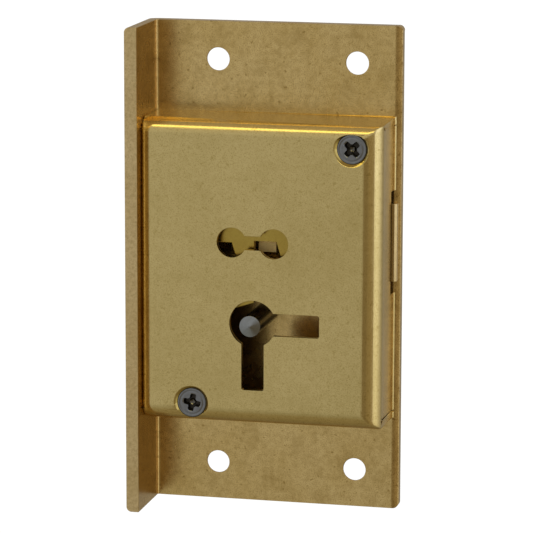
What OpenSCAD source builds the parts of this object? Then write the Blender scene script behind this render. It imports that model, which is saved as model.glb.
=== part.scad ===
// Cut cupboard lock: a bent brass plate with its selvedge, a folded cap, a bolt and four sprung levers.
// +Z runs up the long side, the cap faces -Y and the bolt shoots towards -X, through the selvedge.
// The origin is the centre of the four screw holes, in the plate face that bears on the wood.
// Distances along X are measured from the inner face of the selvedge, heights from mid-plate.

/* [Plate and selvedge] */
// Height of the plate and selvedge
plate_h = 76; // [72:0.5:90]
// Width of the plate, from the selvedge's inner face to the free edge
plate_w = 38.9; // [38.6:0.1:46]
// Thickness of the brass sheet
sheet_t = 2; // [1.6:0.1:2.4]
// Depth of the selvedge in front of the plate
selvedge_depth = 11.8; // [10.8:0.1:14]
// Inner radius of the bend between plate and selvedge
bend_r = 0.4; // [0.3:0.1:0.8]
// Radius of the plate's corners
corner_r = 0.8; // [0.4:0.1:2]

/* [Fixing holes] */
// Distance from the selvedge to the first column of holes
hole_inset = 9.88; // [8:0.02:12]
// Distance between the two columns of holes
hole_pitch_x = 22; // [18:0.1:23]
// Distance between the two rows of holes
hole_pitch_z = 64.2; // [58:0.1:67]
// Diameter of the holes for the wood screws
hole_d = 3.6; // [3:0.1:4]
// Diameter of the countersink at the back
hole_sink_d = 6.6; // [5.4:0.1:7]

/* [Cap] */
// Gap between the selvedge and the cap's open side
cap_gap = 0.25; // [0.1:0.05:0.5]
// Distance from the cap's outer right wall to the plate's free edge
cap_margin = 1.2; // [0.7:0.1:1.7]
// Height of the cap's top wall above mid-plate
cap_top = 23.95; // [22.8:0.05:26]
// Depth of the cap's bottom wall below mid-plate
cap_bottom = 23.15; // [22.9:0.05:26]
// Depth of the cap in front of the plate
cap_depth = 10.05; // [9.9:0.05:11]
// Thickness of the cap's sheet
cap_t = 0.9; // [0.7:0.05:1]
// Outer radius of the cap's folds
fold_r = 2.6; // [1.8:0.1:2.8]
// Width of the open seams at the folded corners
seam_w = 0.35; // [0.2:0.05:0.5]

/* [Cap screws] */
// Distance from the cap's outer right wall to the upper screw
upper_screw_inset = 4.6; // [4.1:0.05:5.3]
// Height of the upper screw
upper_screw_z = 20.2; // [19.6:0.01:20.4]
// Distance from the selvedge to the lower screw
lower_screw_x = 8.02; // [5:0.01:12]
// Height of the lower screw
lower_screw_z = -20.45; // [-20.5:0.01:-19]
// Diameter of the screw heads
screw_head_d = 4.7; // [4.4:0.1:4.8]
// Diameter of the screw shanks
screw_d = 2.5; // [2.2:0.1:2.6]
// Length of the screws
screw_len = 7; // [5:0.5:8]
// How far the heads lie below the cap's face
screw_sunk = 0.4; // [0.3:0.05:0.5]
// Diameter of the pillars that take the screws
pillar_d = 4.4; // [4.2:0.1:4.8]

/* [Keyhole and window] */
// Distance from the selvedge to the drill pin
pin_x = 17.8; // [17.4:0.1:18.2]
// Height of the drill pin
pin_z = -7.46; // [-7.9:0.02:-7.2]
// Diameter of the drill pin
pin_d = 3.3; // [2.8:0.1:3.4]
// How far the drill pin's rim stands in front of the selvedge's edge
pin_proud = 0.1; // [0.05:0.05:1]
// Height of the blunt cone at the drill pin's tip
pin_point = 0.35; // [0.1:0.05:0.5]
// Diameter of the round part of the keyhole
keyhole_d = 7.3; // [6.6:0.1:7.6]
// Width of the two key slots
key_slot_w = 3.5; // [3:0.1:3.8]
// Reach of the key slots from the pin's axis
key_reach = 10.45; // [9.8:0.05:11]
// Radius of the corners of the key slots
key_corner_r = 0.35; // [0.2:0.05:0.8]
// Distance from the selvedge to the middle of the window
window_x = 17.75; // [17:0.05:18.5]
// Height of the window
window_z = 5.15; // [4.6:0.05:5.8]
// Distance between the window's two round ends
window_pitch = 6.6; // [6:0.1:7.2]
// Diameter of the window's round ends
window_d = 4.64; // [4.2:0.02:5]
// Height of the window's neck
window_neck = 2.15; // [1.6:0.05:2.6]

/* [Bolt] */
// Height of the bolt's middle above mid-plate
bolt_z = 4.6; // [4.4:0.05:4.8]
// Height of the bolt across its sides
bolt_h = 12.2; // [11.8:0.1:12.6]
// Thickness of the flat part of the bolt
bolt_t = 1.6; // [1.4:0.05:1.8]
// Thickness of the bolt's head
bolt_head_t = 6; // [5:0.1:6.6]
// Length of the bolt's head behind the selvedge's inner face
bolt_head_len = 7.6; // [7:0.1:7.8]
// Distance from the bolt's tail to the plate's free edge
tail_setback = 0.3; // [0.1:0.05:0.9]
// Chamfer on the tail's front edge
tail_chamfer = 0.4; // [0.2:0.05:0.8]
// Throw of the bolt
bolt_throw = 7; // [5:0.1:7.2]
// Height of the notch for the tail
notch_h = 16.1; // [14:0.1:18]
// Depth of the notch for the tail
notch_depth = 2.1; // [1.9:0.05:2.6]
// Reach of the key's bit into the bolt's talon
bit_reach = 9.6; // [9:0.05:9.8]

/* [Levers] */
// Distance from the selvedge to the lever post
post_x = 28.5; // [28:0.1:28.8]
// Height of the lever post
post_z = 7; // [6.6:0.1:7.4]
// Diameter of the lever post
post_d = 3; // [2.6:0.1:3.2]
// Thickness of a lever
lever_t = 1.55; // [1.3:0.05:1.6]
// Angle by which a lever drops from its gate height to its rest
lever_drop = 11.5; // [10.5:0.1:13]
// Diameter of the eye of a lever
eye_d = 8; // [7:0.1:9]
// Distance from the selvedge to the levers' free end
lever_end = 9; // [8.8:0.1:9.2]
// Height of a dropped lever's top edge at its free end
lever_top = 9.4; // [8.6:0.1:11]
// Corner cut at the top of the free end
lever_corner = 1.5; // [0.8:0.1:2]
// Height of the levers' feet above the drill pin's axis
foot_gap = 2.9; // [2.7:0.05:3.2]
// Distance from the drill pin's axis back to the toe of a foot
foot_back = 0.3; // [0.1:0.05:0.6]
// Rise of a foot's underside for each unit of its length
foot_slope = 0.28; // [0.24:0.01:0.32]
// Distance from the free end to the heel of a foot
heel_run = 2.2; // [2:0.1:3]
// Height of the heel's back edge
heel_rise = 6.2; // [5.4:0.1:7]
// Corner cut at the heel
heel_corner = 0.6; // [0.3:0.05:1]
// Depth of the arm's lower edge below the stump
arm_drop = 6.1; // [5.6:0.1:6.4]
// Length of the arm's straight lower edge past the stump
arm_run = 3; // [2:0.1:3.6]
// Depth of the pockets below the stump
pocket_depth = 4.4; // [3.8:0.1:4.6]
// Lean of the pockets' right sides for each unit of their height
pocket_lean = 0.29; // [0.26:0.01:0.32]
// Headroom over the stump in the right pocket
pocket_headroom = 0.2; // [0.1:0.05:0.4]
// How far the left pocket's top lies below the stump's top when a lever has dropped
pocket_rest = 0.23; // [0.1:0.01:0.3]
// Room behind the stump in the left pocket
pocket_room = 0.7; // [0.4:0.05:0.9]

/* [Bolt stump] */
// Distance from the selvedge to the middle of the stump
stump_x = 19.275; // [19.1:0.025:19.4]
// Height of the middle of the stump
stump_z = 4.11; // [4:0.01:4.2]
// Width of the stump
stump_w = 2.85; // [2.5:0.05:2.95]
// Height of the stump
stump_h = 1.78; // [1.5:0.02:1.9]

/* [Lever springs] */
// Thickness of the leaf springs
spring_t = 0.3; // [0.2:0.05:0.4]
// Width of the leaf springs
spring_w = 1.1; // [0.8:0.05:1.25]
// Distance from the lever post to the foot of a spring
spring_run = 8.5; // [6:0.1:10]
// Depth of the slit that holds the foot of a spring
slit_depth = 1.5; // [1:0.1:2]
// Length of the straight part of a spring above its slit
spring_rise = 0.5; // [0.2:0.05:1]
// Distance from the selvedge to the springs' free ends
spring_tip_x = 9.5; // [8:0.1:12]
// Bow of a spring between its two ends
spring_bow = 2.2; // [1.5:0.1:3]

/* [Hidden] */
$fn = 96;

// clearances
slide_gap = 0.05;
guide_gap = 0.15;
rivet_gap = 0.02;
gate_gap = 0.15;
pocket_gap = 0.25;
tip_gap = 0.12;
over = 1;

// steps between a pin and its rivet end
rivet_step = 0.35;
rivet_fit = 0.05;

// derived places
origin_x = hole_inset + hole_pitch_x / 2;
cap_inner = cap_depth - cap_t;
cap_right = plate_w - cap_margin;
upper_screw_x = cap_right - upper_screw_inset;
bolt_front = slide_gap + bolt_t;
bolt_low = bolt_z - bolt_h / 2;
lever_pitch = lever_t + slide_gap;
tail_end = plate_w - tail_setback;
stump_top = stump_z + stump_h / 2;
stump_low = stump_z - stump_h / 2;
stump_left = stump_x - stump_w / 2;
stump_right = stump_x + stump_w / 2;
pillar_len = cap_inner - (fold_r - cap_t) - slide_gap;
sink_d = screw_head_d + 2 * screw_sunk;

brass = "#a08c58";
plate_brass = "#a0875a";
lever_brass = "#8f7a3a";
bolt_brass = "#b39a7a";
steel = "#6a6a72";
spring_brass = "#b08d4a";

// Moves a piece from selvedge distances to the screw pattern's centre
module place() {
    translate([-origin_x, 0, 0]) children();
}

// A flat piece from an XZ outline: its back lies at a depth in front of the plate, and it is t thick
module flat(depth, t) {
    translate([0, -depth, 0]) rotate([90, 0, 0]) linear_extrude(t) children();
}

// A round bar along -Y, from a depth in front of the plate
module bar(x, z, depth, len, d) {
    translate([x, -depth, z]) rotate([90, 0, 0]) cylinder(h = len, d = d);
}

// A cone along -Y that widens towards the viewer, with its wide end at a depth
module sink(x, z, wide_depth, wide_d, len) {
    translate([x, -wide_depth + len, z]) rotate([90, 0, 0]) cylinder(h = len, d1 = wide_d - 2 * len, d2 = wide_d);
}

module rounded_rect(x0, x1, z0, z1, r) {
    union() {
        translate([x0 + r, z0]) square([x1 - x0 - 2 * r, z1 - z0]);
        translate([x0, z0 + r]) square([x1 - x0, z1 - z0 - 2 * r]);
        for (x = [x0 + r, x1 - r], z = [z0 + r, z1 - r]) translate([x, z]) circle(r);
    }
}

// Section of the bent sheet, seen along Z
module bent_section() {
    outer_r = bend_r + sheet_t;
    difference() {
        union() {
            translate([-sheet_t, 0]) square([plate_w + sheet_t, sheet_t]);
            translate([-sheet_t, -selvedge_depth]) square([sheet_t, selvedge_depth + sheet_t]);
            difference() {
                translate([0, -bend_r]) square(bend_r);
                translate([bend_r, -bend_r]) circle(bend_r);
            }
        }
        difference() {
            translate([-sheet_t - over, sheet_t - outer_r]) square([outer_r + over, outer_r + over]);
            translate([outer_r - sheet_t, sheet_t - outer_r]) circle(outer_r);
        }
    }
}

// The four wood-screw holes, countersunk at the back
module fixing_hole(x, z) {
    sink_depth = (hole_sink_d - hole_d) / 2;
    translate([x, sheet_t + over, z]) rotate([90, 0, 0]) cylinder(h = sheet_t + 2 * over, d = hole_d);
    translate([x, sheet_t, z]) rotate([90, 0, 0]) cylinder(h = sink_depth, d1 = hole_sink_d, d2 = hole_d);
}

module back_plate() {
    color(plate_brass) place() difference() {
        intersection() {
            translate([0, 0, -plate_h / 2]) linear_extrude(plate_h) bent_section();
            flat(-sheet_t - over, selvedge_depth + sheet_t + 2 * over)
                rounded_rect(-sheet_t, plate_w, -plate_h / 2, plate_h / 2, corner_r);
        }
        for (x = [hole_inset, hole_inset + hole_pitch_x], z = [-hole_pitch_z / 2, hole_pitch_z / 2])
            fixing_hole(x, z);
        bolt_slot();
        bar(pin_x, pin_z, -sheet_t - over, sheet_t + 2 * over, pin_rivet_d());
        bar(post_x, post_z, -sheet_t - over, sheet_t + 2 * over, post_rivet_d());
        for (p = screw_places()) bar(p[0], p[1], -sheet_t - over, sheet_t + 2 * over, pillar_rivet_d());
    }
}

function pin_rivet_d() = pin_d - 2 * rivet_step;
function post_rivet_d() = post_d - 2 * rivet_step;
function pillar_rivet_d() = pillar_d - 4 * rivet_step;
function screw_places() = [[upper_screw_x, upper_screw_z], [lower_screw_x, lower_screw_z]];

// The slot in the selvedge that guides the bolt's head; it clears the bend as well
module bolt_slot() {
    flat(0, slide_gap + bolt_head_t + guide_gap)
        translate([-sheet_t - over, bolt_low - guide_gap])
            square([sheet_t + bend_r + over + guide_gap, bolt_h + 2 * guide_gap]);
}

// A block rounded like a sheet folded at the top, the bottom and the free side, from the plate to a depth
module folded_block(x0, x1, z0, z1, depth, r) {
    intersection() {
        translate([0, 0, z0]) linear_extrude(z1 - z0) fold_section(x0, x1, depth, r);
        translate([x0, 0, 0]) rotate([90, 0, 90]) linear_extrude(x1 - x0) fold_section_side(z0, z1, depth, r);
    }
}

// Section seen along Z: open towards the selvedge, folded at the free side
module fold_section(x0, x1, depth, r) {
    union() {
        translate([x0, -depth + r]) square([x1 - x0, depth - r]);
        translate([x0, -depth]) square([x1 - x0 - r, depth]);
        translate([x1 - r, -depth + r]) circle(r);
    }
}

// Section seen along X, with depth along the first axis: folded at the top and the bottom
module fold_section_side(z0, z1, depth, r) {
    union() {
        translate([-depth + r, z0]) square([depth - r, z1 - z0]);
        translate([-depth, z0 + r]) square([depth, z1 - z0 - 2 * r]);
        for (z = [z0 + r, z1 - r]) translate([-depth + r, z]) circle(r);
    }
}

module cap() {
    color(brass) place() difference() {
        folded_block(cap_gap, cap_right, -cap_bottom, cap_top, cap_depth, fold_r);
        translate([0, over, 0])
            folded_block(cap_gap - over, cap_right - cap_t, -cap_bottom + cap_t, cap_top - cap_t,
                cap_inner + over, fold_r - cap_t);
        flat(cap_inner - over, cap_t + 2 * over) keyhole();
        flat(cap_inner - over, cap_t + 2 * over) window();
        for (p = screw_places()) screw_seat(p[0], p[1]);
        tail_notch();
        corner_seam(-cap_bottom + cap_t, seam_w);
        corner_seam(cap_top - cap_t - seam_w / 2, seam_w / 2);
        bend_relief();
    }
}

// Round hole on the drill pin, with slots to the bottom and to the free edge
module keyhole() {
    translate([pin_x, pin_z]) union() {
        circle(d = keyhole_d);
        rounded_rect(-key_slot_w / 2, key_slot_w / 2, -key_reach, 0, key_corner_r);
        rounded_rect(0, key_reach, -key_slot_w / 2, key_slot_w / 2, key_corner_r);
    }
}

// Two round holes joined by a neck
module window() {
    translate([window_x, window_z]) union() {
        for (s = [-1, 1]) translate([s * window_pitch / 2, 0]) circle(d = window_d);
        translate([-window_pitch / 2, -window_neck / 2]) square([window_pitch, window_neck]);
    }
}

module screw_seat(x, z) {
    bar(x, z, cap_inner - over, cap_t + 2 * over, screw_d + 2 * guide_gap);
    sink(x, z, cap_depth, sink_d, (sink_d - screw_d) / 2);
    bar(x, z, cap_depth, over, sink_d);
}

module tail_notch() {
    flat(-over, notch_depth + over)
        translate([cap_right - cap_t - over, bolt_z - notch_h / 2]) square([cap_t + 2 * over, notch_h]);
}

// Open seam between the right wall and its neighbour, up to their folds
module corner_seam(z, w) {
    flat(-over, cap_depth - fold_r + over)
        translate([cap_right - cap_t, z]) square([cap_t + over, w]);
}

// The open ends of the top and bottom walls stop clear of the plate's bend
module bend_relief() {
    flat(-over, bend_r + over)
        translate([-over, -cap_bottom - over])
            square([over + bend_r + slide_gap, cap_top + cap_bottom + 2 * over]);
}

// One screw with its head towards the viewer and a cross recess turned by an angle
module cap_screw(x, z, turn) {
    head_depth = cap_depth - screw_sunk;
    cone = (screw_head_d - screw_d) / 2;
    difference() {
        union() {
            sink(x, z, head_depth, screw_head_d - 2 * rivet_gap, cone);
            bar(x, z, head_depth - screw_len, screw_len - cone + rivet_gap, screw_d);
        }
        for (quarter = [0, 90])
            translate([x, -head_depth, z]) rotate([0, turn + quarter, 0])
                cube([screw_head_d * 0.5, 2.2, screw_head_d * 0.16], center = true);
    }
}

module cap_screws() {
    color(steel) place() {
        cap_screw(upper_screw_x, upper_screw_z, 43);
        cap_screw(lower_screw_x, lower_screw_z, 20);
    }
}

// Pillar between plate and cap, riveted into the plate, bored for its screw, flat beside a near wall
module cap_pillar(x, z, wall) {
    difference() {
        union() {
            bar(x, z, 0, pillar_len, pillar_d);
            bar(x, z, -sheet_t, sheet_t, pillar_rivet_d() - 2 * rivet_gap);
        }
        bar(x, z, cap_depth - screw_sunk - screw_len - over, screw_len + 2 * over, screw_d + 2 * rivet_gap);
        sink(x, z, cap_depth, sink_d, (sink_d - screw_d) / 2);
        flat(-over, cap_depth + over) translate([x - pillar_d, wall - pillar_d]) square([2 * pillar_d, pillar_d]);
    }
}

module upper_cap_pillar() {
    color(bolt_brass) place() cap_pillar(upper_screw_x, upper_screw_z, -cap_bottom + cap_t);
}

module lower_cap_pillar() {
    color(bolt_brass) place() cap_pillar(lower_screw_x, lower_screw_z, -cap_bottom + cap_t + slide_gap);
}

// Turned steel pin: rivet end, plain shank, chamfered tip with a shallow cone
module drill_pin() {
    rim = selvedge_depth + pin_proud;
    color(steel) place() translate([pin_x, 0, pin_z]) rotate([90, 0, 0]) rotate_extrude() polygon([
        [0, -sheet_t], [pin_rivet_d() / 2 - rivet_gap, -sheet_t], [pin_rivet_d() / 2 - rivet_gap, 0],
        [pin_d / 2, 0], [pin_d / 2, rim], [0, rim + pin_point]
    ]);
}

module lever_post() {
    color(steel) place() {
        bar(post_x, post_z, 0, cap_inner - slide_gap, post_d);
        bar(post_x, post_z, -sheet_t, sheet_t, post_rivet_d() - 2 * rivet_gap);
    }
}

// Bolt: thick head through the selvedge, flat body with a slot for the post and a talon for the key
module bolt() {
    color(bolt_brass) place() difference() {
        union() {
            translate([0, 0, bolt_low]) linear_extrude(bolt_h) bolt_section();
            flat(slide_gap, bolt_head_t)
                translate([-sheet_t, bolt_low]) square([sheet_t + bolt_head_len, bolt_h]);
        }
        flat(slide_gap - over, bolt_t + 2 * over) post_slot();
        flat(slide_gap - over, bolt_t + 2 * over) talon();
        bar(stump_x, stump_z, slide_gap - over, bolt_t + 2 * over, stump_rivet_d());
    }
}

// Section of the bolt's flat part, seen along Z, with the front edge of its tail chamfered
module bolt_section() {
    polygon([
        [0, -slide_gap], [tail_end, -slide_gap], [tail_end, tail_chamfer - bolt_front],
        [tail_end - tail_chamfer, -bolt_front], [0, -bolt_front]
    ]);
}

function stump_rivet_d() = stump_h - 2 * rivet_fit;

module post_slot() {
    slot_w = post_d + 2 * guide_gap;
    translate([post_x, post_z]) union() {
        for (travel = [0, bolt_throw]) translate([travel, 0]) circle(d = slot_w);
        translate([0, -slot_w / 2]) square([bolt_throw, slot_w]);
    }
}

// Cut for the key's bit: as wide as the bit's path less the throw, with an arched top
module talon() {
    edge = bolt_low - pin_z;
    half_path = sqrt(bit_reach * bit_reach - edge * edge);
    talon_w = 2 * half_path - bolt_throw;
    middle = pin_x + bolt_throw / 2;
    intersection() {
        translate([middle - talon_w / 2, bolt_low - over]) square([talon_w, bolt_h]);
        translate([middle, pin_z]) circle(bit_reach);
    }
}

module bolt_stump() {
    stump_end = bolt_front + slide_gap + 3 * lever_pitch - gate_gap;
    color(bolt_brass) place() {
        flat(bolt_front, stump_end - bolt_front)
            translate([stump_left, stump_low]) square([stump_w, stump_h]);
        bar(stump_x, stump_z, slide_gap, bolt_t, stump_rivet_d() - 2 * rivet_gap);
    }
}

// Turns what follows about the lever post, positive lifts the free end
module swing(angle) {
    translate([post_x, post_z]) rotate(-angle) translate([-post_x, -post_z]) children();
}

// Lever outline in its dropped pose: eye, arm, blade and the foot that the key lifts
module lever_blank() {
    foot_x = pin_x - foot_back;
    foot_z = pin_z + foot_gap;
    heel_x = lever_end + heel_run;
    heel_z = foot_z - foot_slope * (foot_x - heel_x);
    arm_low = stump_low - arm_drop;
    union() {
        translate([post_x, post_z]) circle(d = eye_d);
        polygon([
            [post_x, post_z + eye_d / 2], [lever_end + lever_corner, lever_top],
            [lever_end, lever_top - lever_corner], [lever_end, heel_z + heel_rise],
            [heel_x, heel_z + heel_corner], [heel_x + heel_corner, heel_z],
            [foot_x, foot_z], [foot_x + foot_back, arm_low],
            [stump_right + arm_run, arm_low], [post_x, post_z - eye_d / 2]
        ]);
    }
}

// Pocket with a level top and a leaning right side, in the dropped pose
module pocket(left, right, top) {
    low = stump_low - pocket_depth;
    lean = pocket_lean * (top - low);
    polygon([[left, top], [right, top], [right + lean, low], [left, low]]);
}

// The two pockets and the gate between them, which lies level once the lever is lifted
module lever_cuts() {
    bar_left = stump_right - bolt_throw + gate_gap * 2;
    bar_right = stump_left - pocket_gap;
    pocket(bar_right, stump_right + gate_gap * 2, stump_top + pocket_headroom);
    pocket(stump_left - bolt_throw - pocket_room, bar_left, stump_top - pocket_rest);
    swing(-lever_drop)
        translate([bar_left - pocket_gap, stump_low - gate_gap])
            square([bar_right - bar_left + 4 * pocket_gap, stump_h + 2 * gate_gap]);
}

// Height of a dropped lever's top edge above the foot of its spring
function top_edge(x) =
    lever_top + (post_z + eye_d / 2 - lever_top) * (x - lever_end - lever_corner) / (post_x - lever_end - lever_corner);
function spring_foot() = [post_x - spring_run, top_edge(post_x - spring_run)];

module lever_outline() {
    difference() {
        lever_blank();
        lever_cuts();
        translate([post_x, post_z]) circle(d = post_d + 2 * slide_gap);
        spring_slit();
    }
}

// Slit in the top edge that holds the foot of the leaf spring
module spring_slit() {
    foot = spring_foot();
    translate([foot[0] - spring_t / 2 - rivet_gap, foot[1] - slit_depth])
        square([spring_t + 2 * rivet_gap, slit_depth + over]);
}

// Lever number 1 lies on the bolt; lift is its angle above the dropped pose
module lever(number, lift) {
    color(lever_brass) place()
        flat(bolt_front + slide_gap + (number - 1) * lever_pitch, lever_t) swing(lift) lever_outline();
}

function turned(p, angle) = [
    post_x + (p[0] - post_x) * cos(angle) + (p[1] - post_z) * sin(angle),
    post_z - (p[0] - post_x) * sin(angle) + (p[1] - post_z) * cos(angle)
];

// Leaf spring of a lever: a straight foot in the slit and an arc up to the cap's top wall
module lever_spring(number, lift) {
    foot_len = slit_depth - guide_gap + spring_rise;
    root = turned([spring_foot()[0], spring_foot()[1] + guide_gap - slit_depth], lift);
    start = turned([spring_foot()[0], spring_foot()[1] + spring_rise], lift);
    tip = [spring_tip_x, cap_top - cap_t - spring_t / 2 - tip_gap];
    chord = norm(tip - start);
    r = (chord * chord / 4 + spring_bow * spring_bow) / (2 * spring_bow);
    along = (tip - start) / chord;
    side = [along[1], -along[0]];
    centre = (start + tip) / 2 - side * (r - spring_bow);
    from = atan2(start[1] - centre[1], start[0] - centre[0]);
    to = atan2(tip[1] - centre[1], tip[0] - centre[0]);
    depth = bolt_front + slide_gap + (number - 1) * lever_pitch + (lever_t - spring_w) / 2;
    color(spring_brass) place() union() {
        translate([centre[0], -depth, centre[1]]) rotate([90, 0, 0]) rotate([0, 0, from])
            rotate_extrude(angle = to - from) translate([r - spring_t / 2, 0]) square([spring_t, spring_w]);
        flat(depth, spring_w) translate(root) rotate(-lift)
            translate([-spring_t / 2, 0]) square([spring_t, foot_len + spring_t / 2]);
    }
}

module lever_1() { lever(1, lever_drop); }
module lever_2() { lever(2, lever_drop); }
module lever_3() { lever(3, lever_drop); }
module lever_4() { lever(4, 0); }
module lever_spring_1() { lever_spring(1, lever_drop); }
module lever_spring_2() { lever_spring(2, lever_drop); }
module lever_spring_3() { lever_spring(3, lever_drop); }
module lever_spring_4() { lever_spring(4, 0); }

back_plate();
cap();
cap_screws();
upper_cap_pillar();
lower_cap_pillar();
drill_pin();
lever_post();
bolt();
bolt_stump();
lever_1();
lever_2();
lever_3();
lever_4();
lever_spring_1();
lever_spring_2();
lever_spring_3();
lever_spring_4();
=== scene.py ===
"""Looks of a cut cupboard lock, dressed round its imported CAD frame."""
import logging
import math
from dataclasses import dataclass, field
from enum import Enum, IntEnum
from typing import Callable, Optional, Sequence, Union

import bmesh
import bpy
from mathutils import Matrix, Vector


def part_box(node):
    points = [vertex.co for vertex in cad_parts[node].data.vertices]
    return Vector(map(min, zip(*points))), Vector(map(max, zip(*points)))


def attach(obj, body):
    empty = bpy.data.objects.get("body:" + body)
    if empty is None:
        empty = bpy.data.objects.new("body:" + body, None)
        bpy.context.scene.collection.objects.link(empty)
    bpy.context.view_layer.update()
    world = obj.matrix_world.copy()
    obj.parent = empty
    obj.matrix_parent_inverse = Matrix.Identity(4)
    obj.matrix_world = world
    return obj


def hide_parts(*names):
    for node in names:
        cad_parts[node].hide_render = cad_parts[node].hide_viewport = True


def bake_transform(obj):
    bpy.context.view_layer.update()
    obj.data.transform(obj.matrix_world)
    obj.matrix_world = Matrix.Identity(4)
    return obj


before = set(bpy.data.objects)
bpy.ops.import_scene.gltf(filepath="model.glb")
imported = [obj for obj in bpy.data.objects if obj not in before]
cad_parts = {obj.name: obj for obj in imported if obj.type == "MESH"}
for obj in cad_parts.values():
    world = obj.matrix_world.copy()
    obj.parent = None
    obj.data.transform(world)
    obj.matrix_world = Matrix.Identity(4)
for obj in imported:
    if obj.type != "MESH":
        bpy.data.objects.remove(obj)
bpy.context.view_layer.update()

LOG = logging.getLogger("cupboard_lock")
MM = 0.001
IMAGE_SIDE_PX = 533
CAD_HEAD_RADIUS = 2.35 * MM
SHARP_DEG = 36.0
QUARTER_DEG = 90.0
LEVERS = ("lever_1", "lever_2", "lever_3", "lever_4")
Colour = tuple[float, float, float]
Stops = Sequence[tuple[float, Colour]]
Socket = bpy.types.NodeSocket
Value = Union[Socket, float]
Paint = Union[Socket, Colour]
EdgeTest = Callable[[bmesh.types.BMEdge], bool]


class Grain(Enum):
    """Run of the fine tool marks on a metal face."""

    ROLLED = (1.0, 1.0, 1.0)
    UPRIGHT = (4.0, 4.0, 0.12)
    LEVEL = (0.12, 4.0, 4.0)
    TURNED = (1.0, 0.05, 1.0)


class Axis(Enum):
    """Directions of the lock's frame."""

    ACROSS = Vector((1.0, 0.0, 0.0))
    DEEP = Vector((0.0, 1.0, 0.0))
    UP = Vector((0.0, 0.0, 1.0))


class Step(Enum):
    """How a mapped value goes from one end to the other."""

    EVEN = "LINEAR"
    SOFT = "SMOOTHSTEP"


class CapFace(IntEnum):
    """Finishes of the cap, in the order of its materials."""

    SHEET = 0
    # SEAT gets a darkened finish that paints the shade of the countersink.
    SEAT = 1
    # SEAM gets a near black finish that paints the shade inside the slits.
    SEAM = 2


class ScrewFace(IntEnum):
    """Finishes of a screw, in the order of its materials."""

    HEAD = 0
    # The recess walls and the head's rim get near black steel: painted shade.
    PAINTED_SHADE = 1
    DISH = 2


@dataclass(frozen=True)
class Marking:
    """How a noise pattern becomes a marking.

    Layers and layer_strength shape the pattern. Start and full are the grey values where the marking begins
    and where it has its full share.
    """

    layers: float
    layer_strength: float
    start: float = 0.3
    full: float = 0.7


CLOUDS = Marking(4.0, 0.6)
MOTTLE = Marking(4.0, 0.65, 0.42, 0.66)
SPECKS = Marking(2.0, 0.6, 0.52, 0.70)
PATCHES = Marking(7.0, 0.72, 0.50, 0.68)
PITS = Marking(1.0, 0.5, 0.67, 0.73)
TOOL_MARKS = Marking(3.0, 0.6)


@dataclass(frozen=True)
class MetalFinish:
    """A metal surface: its colours, stains, tool marks and sheen.

    Colours are linear, scales are cells per metre, depths are metres and amounts are shares.
    """

    name: str
    base: Colour
    shade: Colour
    stain: Colour
    roughness: tuple[float, float]
    grain: Grain = Grain.ROLLED
    cloud_scale: float = 150.0
    mottle_scale: float = 1700.0
    speck_scale: float = 4200.0
    shade_amount: float = 0.5
    stain_amount: float = 0.22
    speck_amount: float = 0.28
    patch_scale: float = 240.0
    patch_amount: float = 0.0
    pit_scale: float = 1300.0
    pit_amount: float = 0.0
    mark_scale: float = 4500.0
    mark_depth: float = 0.0000006


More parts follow.
